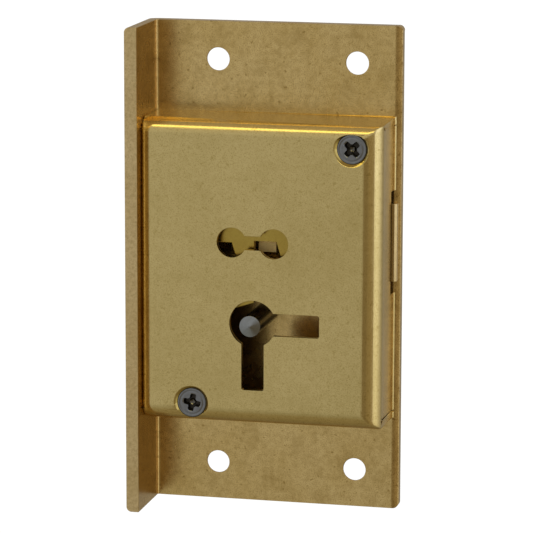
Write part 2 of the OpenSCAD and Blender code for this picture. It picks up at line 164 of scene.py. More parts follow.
class NodeBench:
    """Builds a node tree from short calls."""

    def __init__(self, owner: bpy.types.ID) -> None:
        """Empties the owner's tree.

        Args:
            owner: The material or world whose nodes are made.
        """
        owner.use_nodes = True
        self.tree = owner.node_tree
        self.tree.nodes.clear()

    def node(self, kind: str, **settings: object) -> bpy.types.Node:
        """Adds a node.

        Args:
            kind: The node's type name.
            **settings: Properties to set on the node.

        Returns:
            The new node.
        """
        made = self.tree.nodes.new(kind)
        for key, value in settings.items():
            setattr(made, key, value)
        return made

    def link(self, output: Socket, target: Socket) -> None:
        """Joins an output to an input."""
        self.tree.links.new(output, target)

    def place(self, stretch: Sequence[float] = (1.0, 1.0, 1.0)) -> Socket:
        """Gives the piece's own coordinates, stretched along its axes.

        Args:
            stretch: Scale of the pattern along each axis.

        Returns:
            The vector output.
        """
        coords = self.node("ShaderNodeTexCoord")
        mapping = self.node("ShaderNodeMapping")
        mapping.inputs["Scale"].default_value = stretch
        self.link(coords.outputs["Object"], mapping.inputs["Vector"])
        return mapping.outputs["Vector"]

    def noise(self, where: Socket, scale: float, marking: Marking) -> Socket:
        """Adds a noise pattern.

        Args:
            where: The coordinates to read.
            scale: Cells per metre.
            marking: The pattern's fine layers.

        Returns:
            The grey output.
        """
        made = self.node("ShaderNodeTexNoise")
        made.inputs["Scale"].default_value = scale
        made.inputs["Detail"].default_value = marking.layers
        made.inputs["Roughness"].default_value = marking.layer_strength
        self.link(where, made.inputs["Vector"])
        return made.outputs["Fac"]

    def ramp(self, value: Socket, stops: Stops) -> Socket:
        """Maps a grey value to colours.

        Args:
            value: The grey value.
            stops: Pairs of position and colour.

        Returns:
            The mapped colour.
        """
        made = self.node("ShaderNodeValToRGB")
        band = made.color_ramp
        while len(band.elements) < len(stops):
            band.elements.new(0.5)
        for element, (at, colour) in zip(band.elements, stops):
            element.position = at
            element.color = (*colour, 1.0)
        self.link(value, made.inputs["Fac"])
        return made.outputs["Color"]

    def share(self, pattern: Socket, marking: Marking, amount: float) -> Socket:
        """Maps a noise pattern to a share of a marking.

        Args:
            pattern: The grey pattern.
            marking: Where the share begins and is full.
            amount: The greatest share.

        Returns:
            The share.
        """
        return self.span(pattern, (marking.start, marking.full), (0.0, amount))

    def span(self, value: Socket, given: tuple[float, float], wanted: tuple[float, float],
             step: Step = Step.EVEN) -> Socket:
        """Maps a value from one range to another.

        Args:
            value: The value.
            given: Its range.
            wanted: The new range.
            step: The way from end to end.

        Returns:
            The mapped value.
        """
        made = self.node("ShaderNodeMapRange", interpolation_type=step.value)
        for key, number in zip(("From Min", "From Max", "To Min", "To Max"), (*given, *wanted)):
            made.inputs[key].default_value = number
        self.link(value, made.inputs["Value"])
        return made.outputs["Result"]

    def sum(self, kind: str, first: Socket, second: Value) -> Socket:
        """Works out a sum of one or two values.

        Args:
            kind: The operation's name.
            first: The first value.
            second: The second value: a number or an output.

        Returns:
            The result.
        """
        made = self.node("ShaderNodeMath", operation=kind)
        self.link(first, made.inputs[0])
        if isinstance(second, float):
            made.inputs[1].default_value = second
        else:
            self.link(second, made.inputs[1])
        return made.outputs["Value"]

    def blend(self, amount: Socket, first: Paint, second: Paint) -> Socket:
        """Mixes a colour into another.

        Args:
            amount: Share of the second colour.
            first: A colour or a colour output.
            second: The colour, or colour output, to mix in.

        Returns:
            The mixed colour.
        """
        made = self.node("ShaderNodeMix", data_type="RGBA")
        self.link(amount, made.inputs["Factor"])
        sockets = [s for s in made.inputs if s.type == "RGBA"]
        for socket, colour in zip(sockets, (first, second)):
            if isinstance(colour, tuple):
                socket.default_value = (*colour, 1.0)
            else:
                self.link(colour, socket)
        return next(s for s in made.outputs if s.type == "RGBA")


class MetalShop:
    """Makes materials from metal finishes and keeps each one for reuse."""

    def __init__(self) -> None:
        """Starts with no materials."""
        self.made: dict[str, bpy.types.Material] = {}

    def material(self, finish: MetalFinish) -> bpy.types.Material:
        """Gives the material of a finish.

        Args:
            finish: The finish to show.

        Returns:
            The material, made on first use.
        """
        if finish.name not in self.made:
            self.made[finish.name] = self._make(finish)
        return self.made[finish.name]

    def _make(self, finish: MetalFinish) -> bpy.types.Material:
        """Builds the node tree of a finish.

        Args:
            finish: The finish to show.

        Returns:
            The new material.
        """
        made = bpy.data.materials.new(finish.name)
        bench = NodeBench(made)
        plain = bench.place()
        clouds = bench.noise(plain, finish.cloud_scale, CLOUDS)
        marks = bench.noise(bench.place(finish.grain.value), finish.mark_scale, TOOL_MARKS)
        colour = bench.blend(bench.share(clouds, CLOUDS, finish.shade_amount), finish.base, finish.shade)
        markings = (
            (MOTTLE, finish.mottle_scale, finish.stain_amount),
            (SPECKS, finish.speck_scale, finish.speck_amount),
            (PATCHES, finish.patch_scale, finish.patch_amount),
            (PITS, finish.pit_scale, finish.pit_amount),
        )
        for marking, scale, amount in markings:
            pattern = bench.noise(plain, scale, marking)
            colour = bench.blend(bench.share(pattern, marking, amount), colour, finish.stain)

        shader = bench.node("ShaderNodeBsdfPrincipled")
        shader.inputs["Metallic"].default_value = 1.0
        bench.link(colour, shader.inputs["Base Color"])
        sheen = bench.span(clouds, (CLOUDS.start, CLOUDS.full), finish.roughness)
        bench.link(sheen, shader.inputs["Roughness"])
        bump = bench.node("ShaderNodeBump")
        bump.inputs["Strength"].default_value = 1.0
        bump.inputs["Distance"].default_value = finish.mark_depth
        bench.link(marks, bump.inputs["Height"])
        bench.link(bump.outputs["Normal"], shader.inputs["Normal"])
        output = bench.node("ShaderNodeOutputMaterial")
        bench.link(shader.outputs["BSDF"], output.inputs["Surface"])
        return made


CAP_BRASS = MetalFinish(
    "satin_cap_brass", (0.725, 0.56, 0.248), (0.61, 0.465, 0.18), (0.46, 0.33, 0.10), (0.17, 0.27),
    cloud_scale=70.0, mottle_scale=900.0, speck_scale=7200.0, stain_amount=0.20, speck_amount=0.90,
    patch_amount=0.14, pit_amount=0.55)
# Turned brass made darker than the cap's brass: painted shade on the countersunk seats round the screw heads.
SHADED_SEAT_BRASS = MetalFinish(
    "turned_seat_brass_painted_shade", (0.40, 0.29, 0.085), (0.36, 0.25, 0.07), (0.26, 0.17, 0.04), (0.07, 0.14),
    grain=Grain.TURNED)
# Near black brass: painted shade inside the slits where the right wall meets the top and bottom walls.
SEAM_SHADE_BRASS = MetalFinish(
    "seam_painted_shade_brass", (0.10, 0.06, 0.02), (0.08, 0.045, 0.015), (0.05, 0.03, 0.01), (0.35, 0.55))
PLATE_BRASS = MetalFinish(
    "rolled_plate_brass", (0.78, 0.57, 0.255), (0.68, 0.47, 0.165), (0.36, 0.22, 0.055), (0.18, 0.30),
    cloud_scale=90.0, mottle_scale=1000.0, speck_scale=6400.0, shade_amount=0.7, stain_amount=0.34,
    speck_amount=1.0, patch_amount=0.46, pit_amount=0.75, mark_depth=0.0000009)
EDGE_BRASS = MetalFinish(
    "sawn_edge_brass", (0.80, 0.60, 0.315), (0.62, 0.455, 0.21), (0.46, 0.32, 0.14), (0.30, 0.45),
    grain=Grain.UPRIGHT, stain_amount=0.5, speck_amount=0.5, mark_depth=0.0000030)
BOLT_BRASS = MetalFinish(
    "filed_bolt_brass", (0.58, 0.43, 0.20), (0.50, 0.35, 0.15), (0.36, 0.23, 0.09), (0.22, 0.36),
    grain=Grain.LEVEL)
# Rough sheared brass, made much paler than the bolt's brass: painted light on the stump in its shaded pocket.
LIT_STUMP_BRASS = MetalFinish(
    "sheared_stump_brass_painted_light", (0.97, 0.74, 0.34), (0.92, 0.68, 0.30), (0.60, 0.42, 0.16), (0.50, 0.65),
    grain=Grain.UPRIGHT)
LEVER_BRASS = MetalFinish(
    "blanked_lever_brass", (0.49, 0.34, 0.075), (0.45, 0.305, 0.06), (0.34, 0.21, 0.04), (0.18, 0.28))
TURNED_BRASS = MetalFinish(
    "turned_pillar_brass", (0.60, 0.44, 0.18), (0.54, 0.38, 0.15), (0.40, 0.26, 0.09), (0.20, 0.32),
    grain=Grain.TURNED)
SPRING_BRASS = MetalFinish(
    "spring_strip_brass", (0.58, 0.41, 0.16), (0.52, 0.35, 0.12), (0.40, 0.25, 0.08), (0.16, 0.28),
    grain=Grain.LEVEL)
PIN_STEEL = MetalFinish(
    "turned_pin_steel", (0.295, 0.300, 0.305), (0.255, 0.260, 0.262), (0.15, 0.14, 0.13), (0.16, 0.26),
    grain=Grain.TURNED)
SCREW_STEEL = MetalFinish(
    "plated_screw_steel", (0.25, 0.252, 0.267), (0.21, 0.212, 0.225), (0.12, 0.115, 0.11), (0.24, 0.38))
# Near black steel: painted shade in the cross recess and in the ring round the head's rim.
PAINTED_SHADE_STEEL = MetalFinish(
    "recess_painted_shade_steel", (0.065, 0.058, 0.052), (0.045, 0.040, 0.036), (0.05, 0.04, 0.025), (0.40, 0.60))
# Polished steel at half the head's brightness: painted shade on the recess floor; its glint comes from its
# low roughness.
SHADED_DISH_STEEL = MetalFinish(
    "polished_dish_painted_shade", (0.13, 0.12, 0.10), (0.10, 0.09, 0.075), (0.06, 0.05, 0.04), (0.08, 0.16))
SHOP = MetalShop()


@dataclass
class Piece:
    """A finished mesh that stands for a CAD node; a piece without a bend moves with its body.

    A piece with a bend keeps its place with its transform baked in; its two points are not read.
    """

    name: str
    node: str
    body: str
    slot: str
    finishes: tuple[MetalFinish, ...]
    mesh: bmesh.types.BMesh
    bend: Optional[tuple[Vector, Vector]] = None

    def settle(self) -> None:
        """Turns the built mesh into an object in the scene."""
        limit = math.radians(SHARP_DEG)
        for edge in self.mesh.edges:
            edge.smooth = edge.calc_face_angle(0.0) < limit
        for face in self.mesh.faces:
            face.smooth = True
        data = bpy.data.meshes.new(self.name)
        self.mesh.to_mesh(data)
        self.mesh.free()
        for finish in self.finishes:
            data.materials.append(SHOP.material(finish))
        made = bpy.data.objects.new(self.name, data)
        bpy.context.scene.collection.objects.link(made)
        steady = made.modifiers.new("steady_normals", "WEIGHTED_NORMAL")
        steady.keep_sharp = True
        if self.bend:
            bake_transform(made)
        else:
            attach(made, self.body)
        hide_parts(self.node)
        LOG.info("%s: %d faces on body %s", self.name, len(data.polygons), self.body)


class CadCopy:
    """A merged copy of a CAD node's mesh that can be cut, reshaped and softened."""

    MERGE = 0.000001
    FLAT_DEG = 0.4

    def __init__(self, node: str) -> None:
        """Copies a node and merges its loose triangles.

        Args:
            node: The CAD node to copy.
        """
        self.bm = bmesh.new()
        self.bm.from_mesh(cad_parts[node].data)
        self.low, self.high = (Vector(corner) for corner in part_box(node))
        bmesh.ops.remove_doubles(self.bm, verts=self.bm.verts, dist=self.MERGE)

    def cut(self, axis: Axis, places: Sequence[float]) -> "CadCopy":
        """Adds edge lines where planes cross the mesh.

        Args:
            axis: Direction across the planes.
            places: Positions of the planes along it.

        Returns:
            This copy.
        """
        for place in places:
            bmesh.ops.bisect_plane(
                self.bm, geom=self.bm.verts[:] + self.bm.edges[:] + self.bm.faces[:], dist=self.MERGE / 10,
                plane_co=axis.value * place, plane_no=axis.value)
        return self

    def reshape(self, move: Callable[[Vector], Vector]) -> "CadCopy":
        """Moves every point and closes what falls together.

        Args:
            move: Gives a point's new place.

        Returns:
            This copy.
        """
        for vert in self.bm.verts:
            vert.co = move(vert.co)
        bmesh.ops.remove_doubles(self.bm, verts=self.bm.verts, dist=self.MERGE)
        bmesh.ops.dissolve_degenerate(self.bm, edges=self.bm.edges, dist=self.MERGE)
        return self

    def join_flats(self) -> "CadCopy":
        """Joins neighbouring triangles that lie in one plane."""
        bmesh.ops.dissolve_limit(
            self.bm, angle_limit=math.radians(self.FLAT_DEG), use_dissolve_boundaries=False,
            verts=self.bm.verts, edges=self.bm.edges)
        return self

    def soften(self, width: float, segments: int, keep: EdgeTest = lambda edge: True) -> "CadCopy":
        """Rounds the outward sharp edges that a test keeps.

        Args:
            width: Width of the rounding.
            segments: Steps across it.
            keep: Which edges to round.

        Returns:
            This copy.
        """
        limit = math.radians(SHARP_DEG)
        sharp = [
            edge for edge in self.bm.edges
            if len(edge.link_faces) == 2 and edge.is_convex
            and edge.calc_face_angle(0.0) > limit and keep(edge)
        ]
        bmesh.ops.bevel(
            self.bm, geom=sharp, offset=width, offset_type="OFFSET", affect="EDGES", segments=segments,
            profile=0.5, material=-1, clamp_overlap=False, loop_slide=True)
        return self


@dataclass
class PlateAndSelvedge:
    """The bent brass plate: face, selvedge and four screw holes."""

    free_edge_round: float = 0.26 * MM
    free_edge_steps: int = 4
    free_edge_slack: float = 0.001 * MM
    other_round: float = 0.09 * MM
    other_steps: int = 2
    other_inset: float = 2.0 * MM
    roll_radius: float = 1.85 * MM
    roll_turn: float = math.radians(40.0)
    roll_steps: int = 12

    def build(self) -> None:
        """Builds and dresses the plate."""
        copy = CadCopy("back_plate").join_flats()
        start = copy.high.x - self.roll_radius * math.sin(self.roll_turn)
        turns = [self.roll_turn * k / self.roll_steps for k in range(self.roll_steps)]
        copy.cut(Axis.ACROSS, [start + self.roll_radius * math.sin(turn) for turn in turns])

        def rolled(place: Vector) -> Vector:
            """Turns the front face back near the plate's free side."""
            reach = place.x - start
            if reach <= 0.0 or abs(place.y) > self.other_round:
                return place
            drop = self.roll_radius - math.sqrt(self.roll_radius ** 2 - reach ** 2)
            return place + Axis.DEEP.value * drop

        copy.reshape(rolled)
        limit = copy.high.x - self.free_edge_slack

        def at_free_edge(edge: bmesh.types.BMEdge) -> bool:
            """Tells whether an edge lies on the plate's free side."""
            return all(vert.co.x > limit for vert in edge.verts)

        def clear_of_it(edge: bmesh.types.BMEdge) -> bool:
            """Tells whether an edge lies well away from the free side."""
            return max(vert.co.x for vert in edge.verts) < limit - self.other_inset

        copy.soften(self.free_edge_round, self.free_edge_steps, at_free_edge)
        copy.soften(self.other_round, self.other_steps, clear_of_it)
        front = copy.low.y + self.other_round / 2
        for face in copy.bm.faces:
            face.material_index = int(face.calc_center_median().y < front)
        finishes = (PLATE_BRASS, EDGE_BRASS)
        Piece("plate_and_selvedge", "back_plate", "case", "plate_brass", finishes, copy.bm).settle()


def screw_centres() -> tuple[Vector, Vector]:
    """Gives the middles of the upper and the lower screw's head faces."""
    low, high = (Vector(corner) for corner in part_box("cap_screws"))
    reach = CAD_HEAD_RADIUS
    return Vector((high.x - reach, low.y, high.z - reach)), Vector((low.x + reach, low.y, low.z + reach))


@dataclass(frozen=True)
class Fold:
    """A folded side of the cap.

    The wall stands inwards of its CAD place by foot at its foot, and by crown where the fold begins. A bow of
    1 makes it straight in between, a greater one spreads it towards the foot. Points of the face follow the
    crown within the zone.
    """

    radius: float
    zone: float
    foot: float = 0.0
    crown: float = 0.0
    bow: float = 1.0
    steps: int = 15

    def turns(self) -> list[float]:
        """Gives distances from the CAD wall where lines across the fold keep it round."""
        shares = [1 - math.sin(math.pi / 2 * k / self.steps) for k in range(self.steps)]
        return [self.radius * share / (1 - self.crown / self.zone) for share in shares]

    def drop(self, t: float) -> float:
        """Gives how far the fold has turned back at a distance from the CAD wall."""
        inside = min(max(0.0, self.crown + self.radius - self.inwards(t)), self.radius)
        return self.radius - math.sqrt(self.radius ** 2 - inside ** 2)

    def inwards(self, t: float) -> float:
        """Gives the distance from the CAD wall that a point of the fold or the face moves to."""
        return t + self.crown * max(0.0, 1 - t / self.zone)

    def wall(self, height: float, full: float) -> float:
        """Gives the wall's distance from its CAD place at a height.

        Args:
            height: Height above the foot.
            full: Height of the whole cap.

        Returns:
            The distance, inwards.
        """
        share = max(0.0, 1 - height / (full - self.radius))
        return self.crown + (self.foot - self.crown) * share ** self.bow


@dataclass
class FoldedCap:
    """The sheet cap, folded on three sides, with its keyhole, window and screw seats."""

    cad_fold: Fold = Fold(2.6 * MM, 2.6 * MM)
    right: Fold = Fold(2.95 * MM, 3.0 * MM, foot=-0.22 * MM, crown=0.05 * MM, bow=2.0)
    top: Fold = Fold(1.92 * MM, 2.6 * MM, crown=0.32 * MM)
    bottom: Fold = Fold(2.6 * MM, 2.6 * MM, foot=-0.12 * MM, crown=-0.30 * MM)
    cad_tolerance: float = 0.06 * MM
    corner_power: float = 4.0
    corner_round: float = 0.12 * MM
    end_shoulder: float = 1.98 * MM
    end_bow: float = 0.50 * MM
    end_bow_power: int = 2
    end_turn: float = 0.32 * MM
    end_turn_power: int = 6
    end_reach: float = 0.215 * MM
    end_steps: int = 12
    flare: float = 0.16 * MM
    flare_height: float = 0.45 * MM
    flare_steps: int = 6
    wall_rows: int = 5
    edge_round: float = 0.06 * MM
    edge_steps: int = 2
    seat_reach: float = 2.9 * MM
    seat_depth: float = 0.03 * MM
    seat_slope: tuple[float, float] = (-0.9, -0.3)
    seam_from: float = 0.81 * MM
    seam_to: float = 1.32 * MM
    seam_reach: float = 0.9 * MM
    seam_slope: float = 0.5
    low: Vector = field(init=False)
    high: Vector = field(init=False)

    def build(self) -> None:
        """Builds and dresses the cap."""
        copy = CadCopy("cap")
        self.low, self.high = copy.low, copy.high
        feet = [-self.flare_height * (k + 1) / self.flare_steps for k in range(self.flare_steps)]
        rows = [self.low.y * (k + 1) / (self.wall_rows + 2) for k in range(self.wall_rows)]
        end = [self.end_shoulder * ((k + 1) / self.end_steps) ** 2 for k in range(self.end_steps)]
        copy.cut(Axis.ACROSS, [self.low.x + t for t in end] + [self.high.x - t for t in self.right.turns()])
        copy.cut(Axis.UP, [self.low.z + t for t in self.bottom.turns()])
        copy.cut(Axis.UP, [self.high.z - t for t in self.top.turns()])
        copy.cut(Axis.DEEP, feet + rows).reshape(self._folded).join_flats()
        clear_of_end = self.low.x + self.end_shoulder

        def free_edge(edge: bmesh.types.BMEdge) -> bool:
            """Tells whether an edge lies clear of the feet and of the rolled end."""
            clear_of_feet = max(v.co.y for v in edge.verts) < -2 * self.flare_height
            return clear_of_feet and min(v.co.x for v in edge.verts) > clear_of_end

        copy.soften(self.edge_round, self.edge_steps, free_edge)
        for face in copy.bm.faces:
            face.material_index = int(self._kind(face))
        finishes = (CAP_BRASS, SHADED_SEAT_BRASS, SEAM_SHADE_BRASS)
        Piece("folded_cap", "cap", "case", "cap_brass", finishes, copy.bm).settle()

    def _kind(self, face: bmesh.types.BMFace) -> CapFace:
        """Tells which finish a face has.

        Args:
            face: The face of the folded cap.

        Returns:
            A seam's inside at the right wall's ends, the cone of a screw's seat, or else plain sheet.
        """
        middle = face.calc_center_median()
        from_end = min(middle.z - self.low.z, self.high.z - middle.z)
        beside = self.high.x - middle.x < self.seam_reach and self.seam_from < from_end < self.seam_to
        # Seam faces get the near black finish: painted shade in the slit.
        if beside and abs(face.normal.x) < self.seam_slope and middle.y > self.low.y + self.cad_fold.radius:
            return CapFace.SEAM
        near = any(math.hypot(middle.x - c.x, middle.z - c.z) < self.seat_reach for c in screw_centres())
        steep, shallow = self.seat_slope
        # Seat faces get the darkened finish: painted shade in the countersink.
        if near and steep < face.normal.y < shallow and middle.y > self.low.y + self.seat_depth:
            return CapFace.SEAT
        return CapFace.SHEET

    def _end_drop(self, left: float) -> float:
        """Gives how far the face has turned back at a distance from the cut end."""
        share = max(0.0, 1 - left / self.end_shoulder)
        return self.end_bow * share ** self.end_bow_power + self.end_turn * share ** self.end_turn_power

    def _corner(self, a: float, b: float) -> tuple[float, float]:
        """Bends the square corner between two walls into a round one.

        Args:
            a: Distance from the first wall.
            b: Distance from the second wall.

        Returns:
            The two distances after bending.
        """
        q = self.corner_round
        if max(a, b) >= q:
            return a, b
        layer = min(a, b)
        turn = math.pi / 4 * (1 - (max(a, b) - layer) / (q - layer))
        far, near = q - (q - layer) * math.sin(turn), q - (q - layer) * math.cos(turn)
        return (far, near) if a >= b else (near, far)

    def _folded(self, point: Vector) -> Vector:
        """Gives the place of a point of the CAD cap on the real cap, with its soft corners and rolled end.

        Args:
            point: The point on the CAD solid.

        Returns:
            The new place.
        """
        left, a = point.x - self.low.x, self.high.x - point.x
        below, above = point.z - self.low.z, self.high.z - point.z
        b, side = (below, self.bottom) if below < above else (above, self.top)
        behind, full = point.y - self.low.y, -self.low.y
        outer = abs(behind - max(self.cad_fold.drop(a), self.cad_fold.drop(b))) < self.cad_tolerance
        on_right, on_side = a < CadCopy.MERGE, b < CadCopy.MERGE
        moved = point.copy()
        if not (outer or on_right or on_side):
            return moved
        power = self.corner_power
        drop = (self.right.drop(a) ** power + side.drop(b) ** power) ** (1 / power)
        if outer or behind < drop:
            moved.y = self.low.y + drop + self._end_drop(left)
        height = -moved.y
        flare = 0.0
        if left > self.end_shoulder:
            flare = self.flare * max(0.0, 1 - height / self.flare_height) ** 2
        a, b = self._corner(a, b)
        a = self.right.wall(height, full) - flare + a if on_right else self.right.inwards(a)
        b = side.wall(height, full) - flare + b if on_side else side.inwards(b)
        moved.x = self.high.x - a - self.end_reach * max(0.0, 1 - left / self.end_shoulder)
        moved.z = self.low.z + b if below < above else self.high.z - b
        return moved


@dataclass(frozen=True)
class Ring:
    """One ring of a screw's profile.

    A share above zero draws the recess outline at that share instead of a circle.
    """

    radius: float
    depth: float
    share: float = 0.0
    finish: ScrewFace = ScrewFace.HEAD


@dataclass
class CapScrews:
    """The two countersunk screws, with turned heads and cross recesses.

    The rim pairs an inset with a depth, the groove a share of the radius with a depth, the lip a share of the
    recess outline with a depth, and the recess walls a share of the outline with a share of the full depth.
    """

    head_radius: float = 2.345 * MM
    shank_radius: float = 1.25 * MM
    length: float = 7.0 * MM
    tip_share: float = 0.8
    tip_length: float = 0.3 * MM
    rim: tuple[tuple[float, float], ...] = ((0.0, 0.14 * MM), (0.03 * MM, 0.06 * MM), (0.12 * MM, 0.0))
    groove: tuple[tuple[float, float], ...] = (
        (0.86, 0.0), (0.82, 0.035 * MM), (0.76, 0.035 * MM), (0.72, 0.0), (0.66, 0.0))
    recess_lip: tuple[tuple[float, float], ...] = ((1.10, 0.0), (1.0, 0.09 * MM))
    recess_walls: tuple[tuple[float, float], ...] = ((0.92, 0.6), (0.84, 1.0))
    recess_reach: float = 1.36 * MM
    recess_half: float = 0.43 * MM
    recess_core: float = 0.76 * MM
    recess_roundness: float = 6.0
    recess_depth: float = 0.9 * MM
    dish_radius: float = 0.55 * MM
    dish_depth: float = 0.24 * MM
    dish_steps: int = 6
    arm_steps: int = 3
    corner_steps: int = 5
    upper_turn_deg: float = 45.0
    lower_turn_deg: float = -11.0

    def build(self) -> None:
        """Builds and dresses both screws."""
        upper, lower = screw_centres()
        bm = bmesh.new()
        self._screw(bm, upper, self.upper_turn_deg)
        self._screw(bm, lower, self.lower_turn_deg)
        bmesh.ops.recalc_face_normals(bm, faces=bm.faces)
        finishes = (SCREW_STEEL, PAINTED_SHADE_STEEL, SHADED_DISH_STEEL)
        Piece("turned_cap_screws", "cap_screws", "case", "screw_steel", finishes, bm).settle()

    def _angles(self) -> list[float]:
        """Gives directions round the head that meet every corner of the recess."""
        corner = math.degrees(math.atan2(self.recess_half, self.recess_reach))
        arm = [corner * k / self.arm_steps for k in range(self.arm_steps)]
        middle = QUARTER_DEG / 2
        gap = [corner + (middle - corner) * k / self.corner_steps for k in range(self.corner_steps)]
        half = arm + gap
        quarter = half + [middle] + [QUARTER_DEG - a for a in reversed(half[1:])]
        return [math.radians(QUARTER_DEG * k + a) for k in range(4) for a in quarter]

    def _cross(self, angle: float) -> float:
        """Gives the recess outline's distance from the axis in a direction.

        Args:
            angle: The direction.

        Returns:
            The distance.
        """
        off = abs((angle + math.pi / 4) % (math.pi / 2) - math.pi / 4)
        p = self.recess_roundness
        arm = ((math.cos(off) / self.recess_reach) ** p + (math.sin(off) / self.recess_half) ** p) ** (-1 / p)
        return max(arm, self.recess_core)

    def _screw(self, bm: bmesh.types.BMesh, face: Vector, turn_deg: float) -> None:
        """Adds a screw.

        Args:
            bm: The mesh to add to.
            face: Middle of the head's face.
            turn_deg: How far the recess is turned.
        """
        angles = self._angles()
        turn = math.radians(turn_deg)
        rings = self._rings()
        circle = bmesh.ops.create_circle(
            bm, cap_ends=True, segments=len(angles), radius=self.shank_radius)["verts"]
        loop = list(dict.fromkeys(edge for vert in circle for edge in vert.link_edges))
        self._settle_ring(circle, angles, rings[0], face, turn)
        for ring in rings[1:]:
            grown = bmesh.ops.extrude_edge_only(bm, edges=loop)["geom"]
            edges = [item for item in grown if isinstance(item, bmesh.types.BMEdge)]
            loop = [edge for edge in edges if len(edge.link_faces) == 1]
            circle = self._in_order(loop, circle)
            self._settle_ring(circle, angles, ring, face, turn)
            for flank in {near for edge in loop for near in edge.link_faces}:
                flank.material_index = int(ring.finish)
        for bottom in bmesh.ops.contextual_create(bm, geom=loop)["faces"]:
            bottom.material_index = int(rings[-1].finish)

    def _rings(self) -> list[Ring]:
        """Gives the rings from the shank's end over the head into the recess."""
        head, shank, deep = self.head_radius, self.shank_radius, self.recess_depth
        rings = [Ring(shank * self.tip_share, self.length), Ring(shank, self.length - self.tip_length)]
        rings.append(Ring(shank, head - shank))
        # The rim's rings get the near black steel: painted shade of the gap round the head.
        rings += [Ring(head - inset, depth, finish=ScrewFace.PAINTED_SHADE) for inset, depth in self.rim]
        rings += [Ring(head * share, depth) for share, depth in self.groove]
        rings += [Ring(0.0, depth, share) for share, depth in self.recess_lip]
        # The recess walls get the near black steel: painted shade inside the recess.
        rings += [Ring(0.0, deep * part, share, ScrewFace.PAINTED_SHADE) for share, part in self.recess_walls]
        rings.append(Ring(self.dish_radius, deep, finish=ScrewFace.PAINTED_SHADE))
        for k in range(1, self.dish_steps):
            out = 1 - k / self.dish_steps
            hollow = self.dish_depth * (1 - out ** 2)
            rings.append(Ring(self.dish_radius * out, deep + hollow, finish=ScrewFace.DISH))
        return rings

    def _in_order(self, loop: list[bmesh.types.BMEdge],
                  before: list[bmesh.types.BMVert]) -> list[bmesh.types.BMVert]:
        """Lists a new ring's points beside the points they were drawn out of.

        Args:
            loop: The new ring's edges.
            before: The earlier ring's points, in order.

        Returns:
            The new points, in the same order.
        """
        fresh = {v for e in loop for v in e.verts}
        return [next(e.other_vert(v) for e in v.link_edges if e.other_vert(v) in fresh) for v in before]

    def _settle_ring(self, verts: Sequence[bmesh.types.BMVert], angles: Sequence[float],
                     ring: Ring, face: Vector, turn: float) -> None:
        """Puts a ring's points in their places.

        Args:
            verts: The points in order.
            angles: Their directions.
            ring: The ring's size and depth below the face.
            face: Middle of the head's face.
            turn: How far the recess is turned.
        """
        for vert, angle in zip(verts, angles):
            reach = self._cross(angle) * ring.share if ring.share else ring.radius
            way = angle + turn
            vert.co = face + Vector((reach * math.cos(way), ring.depth, reach * math.sin(way)))


@dataclass
class DrillPin:
    """The steel pin in the keyhole, with a turned point.

    The rim pairs an inset with a depth below the point's foot, and the centre mark a radius with a depth
    below the last ring.
    """

    steps: int = 72
    rivet_radius: float = 1.28 * MM
    point_height: float = 0.35 * MM
    point_share: float = 0.88
    rim: tuple[tuple[float, float], ...] = ((0.0, 0.05 * MM), (0.02 * MM, 0.01 * MM))
    rim_inset: float = 0.05 * MM
    ring_count: int = 9
    ring_height: float = 0.012 * MM
    last_ring: float = 0.16 * MM
    centre_mark: tuple[tuple[float, float], ...] = (
        (0.10 * MM, -0.01 * MM), (0.07 * MM, 0.06 * MM), (0.0, 0.08 * MM))

    def build(self) -> None:
        """Builds and dresses the pin."""
        low, high = (Vector(corner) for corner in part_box("drill_pin"))
        middle, radius = (low + high) / 2, (high.x - low.x) / 2
        rim = low.y + self.point_height
        profile = [(0.0, high.y), (self.rivet_radius, high.y), (self.rivet_radius, 0.0), (radius, 0.0)]
        profile += [(radius - inset, rim + depth) for inset, depth in self.rim]
        profile += self._turned_point(radius - self.rim_inset, rim, low.y)
        bm = bmesh.new()
        verts = [bm.verts.new((middle.x + r, y, middle.z)) for r, y in profile]
        edges = [bm.edges.new(pair) for pair in zip(verts, verts[1:])]
        bmesh.ops.spin(
            bm, geom=verts + edges, cent=(middle.x, 0.0, middle.z), axis=(0.0, 1.0, 0.0), angle=math.tau,
            steps=self.steps, use_merge=True)
        bmesh.ops.remove_doubles(bm, verts=bm.verts, dist=CadCopy.MERGE)
        bmesh.ops.recalc_face_normals(bm, faces=bm.faces)
        Piece("turned_drill_pin", "drill_pin", "case", "pin_steel", (PIN_STEEL,), bm).settle()

    def _turned_point(self, radius: float, rim: float, tip: float) -> list[tuple[float, float]]:
        """Gives the profile of the blunt cone with its turning rings and centre mark.

        Args:
            radius: Radius at the rim.
            rim: Depth of the rim.
            tip: Depth of the tip.

        Returns:
            Pairs of radius and depth, from the rim to the axis.
        """
        points = []
        count = self.ring_count * 2
        for k in range(count + 1):
            share = k / count
            swell = self.ring_height if k % 2 else 0.0
            depth = rim + (tip - rim) * self.point_share * share + swell
            points.append((radius + (self.last_ring - radius) * share, depth))
        last = points[-1][1]
        return points + [(r, last + depth) for r, depth in self.centre_mark]


@dataclass
class InnerWork:
    """Bolt, stump and levers, seen through the cap's openings."""

    bolt_round: float = 0.105 * MM
    stump_round: float = 0.07 * MM
    lever_round: float = 0.112 * MM
    round_steps: int = 2

    def build(self) -> None:
        """Builds and dresses the moving pieces."""
        bolt = CadCopy("bolt").join_flats().soften(self.bolt_round, self.round_steps)
        Piece("sliding_bolt", "bolt", "bolt", "bolt_brass", (BOLT_BRASS,), bolt.bm).settle()
        # The stump's pale brass is painted light.
        stump = CadCopy("bolt_stump").join_flats().soften(self.stump_round, self.round_steps)
        Piece("stump_on_bolt", "bolt_stump", "bolt", "bolt_brass", (LIT_STUMP_BRASS,), stump.bm).settle()
        for name in LEVERS:
            lever = CadCopy(name).join_flats().soften(self.lever_round, self.round_steps)
            Piece(f"blanked_{name}", name, name, "lever_brass", (LEVER_BRASS,), lever.bm).settle()


